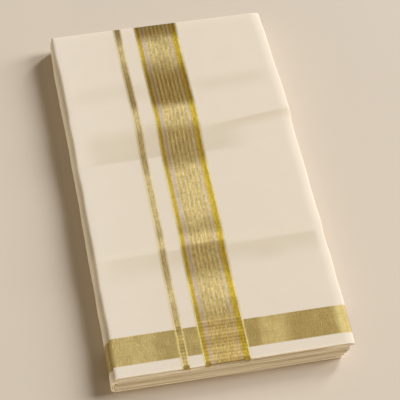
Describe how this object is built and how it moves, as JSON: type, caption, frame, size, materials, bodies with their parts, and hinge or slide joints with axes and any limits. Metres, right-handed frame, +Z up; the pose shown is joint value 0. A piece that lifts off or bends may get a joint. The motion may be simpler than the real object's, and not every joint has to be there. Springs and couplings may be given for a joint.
{
  "type": "folded dhoti cloth",
  "caption": "A length of cotton dress cloth folded into a flat rectangular pack, with its selvedges at one end, to be laid on a table or shelf, stacked or carried.",
  "frame": {"origin": "centre of the pack's box at floor level, on its flat underside", "axes": "+X across the pack, from its left folds to its right folds; +Y along the pack, away from the end where the selvedges lie; +Z up, out of the top leaf"},
  "size_m": [0.1908, 0.3208, 0.0214],
  "materials": {
    "kasavu_cotton": "fine plain-woven cotton with woven gold bands"
  },
  "bodies": {
    "root": {"top_leaf": "kasavu_cotton", "outer_wrap": "kasavu_cotton", "inner_leaf": "kasavu_cotton", "inner_stack": "kasavu_cotton"}
  },
  "joints": []
}
